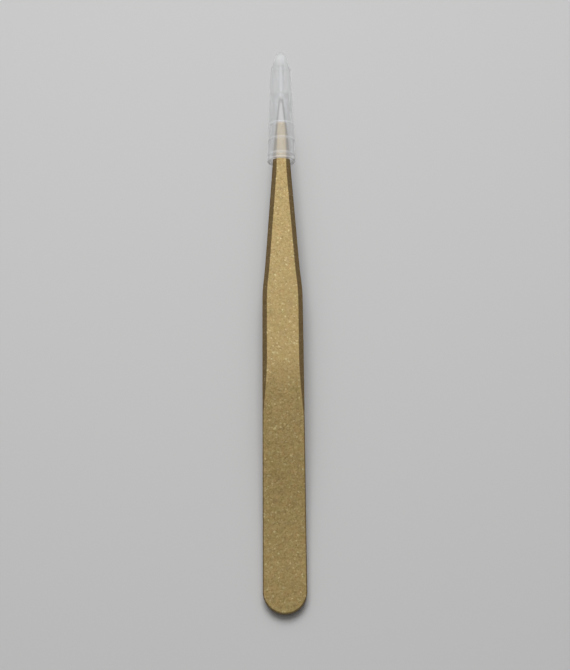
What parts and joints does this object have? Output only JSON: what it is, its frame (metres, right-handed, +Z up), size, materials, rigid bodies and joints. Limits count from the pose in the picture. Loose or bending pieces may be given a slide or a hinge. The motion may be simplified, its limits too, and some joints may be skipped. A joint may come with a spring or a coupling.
{
  "type": "straight tweezers with tip cap",
  "caption": "Flat-bodied straight tweezers with ground bevels and fine tips, bowed arms welded at a round tail, and a translucent push-on cap over the tips.",
  "frame": {"origin": "centre of the footprint of the tweezers lying at rest, on the surface they lie on", "axes": "+Y along the tweezers from the tail to the tips, +X across the arms, +Z up"},
  "size_m": [0.01, 0.1374, 0.0105],
  "materials": {
    "arm_coating": "satin champagne-gold coating with fine metallic glitter on steel",
    "cap_plastic": "clear to milky translucent, smooth moulded"
  },
  "bodies": {
    "lower_arm": {"lower_arm": "arm_coating"},
    "upper_arm": {"upper_arm": "arm_coating"},
    "cap": {"tip_cap": "cap_plastic"}
  },
  "joints": [
    {"name": "squeeze", "type": "hinge", "parent": "lower_arm", "child": "upper_arm", "pos_m": [0, -0.05766, 0.00185], "axis": [-1, 0, 0], "range_deg": [0, 0.5], "stiffness_Nm_per_rad": 2, "springref_deg": -0.57},
    {"name": "cap_pull", "type": "slide", "parent": "lower_arm", "child": "cap", "axis": [0, 0.9987, 0.0508], "range_m": [0, 0.04]}
  ]
}
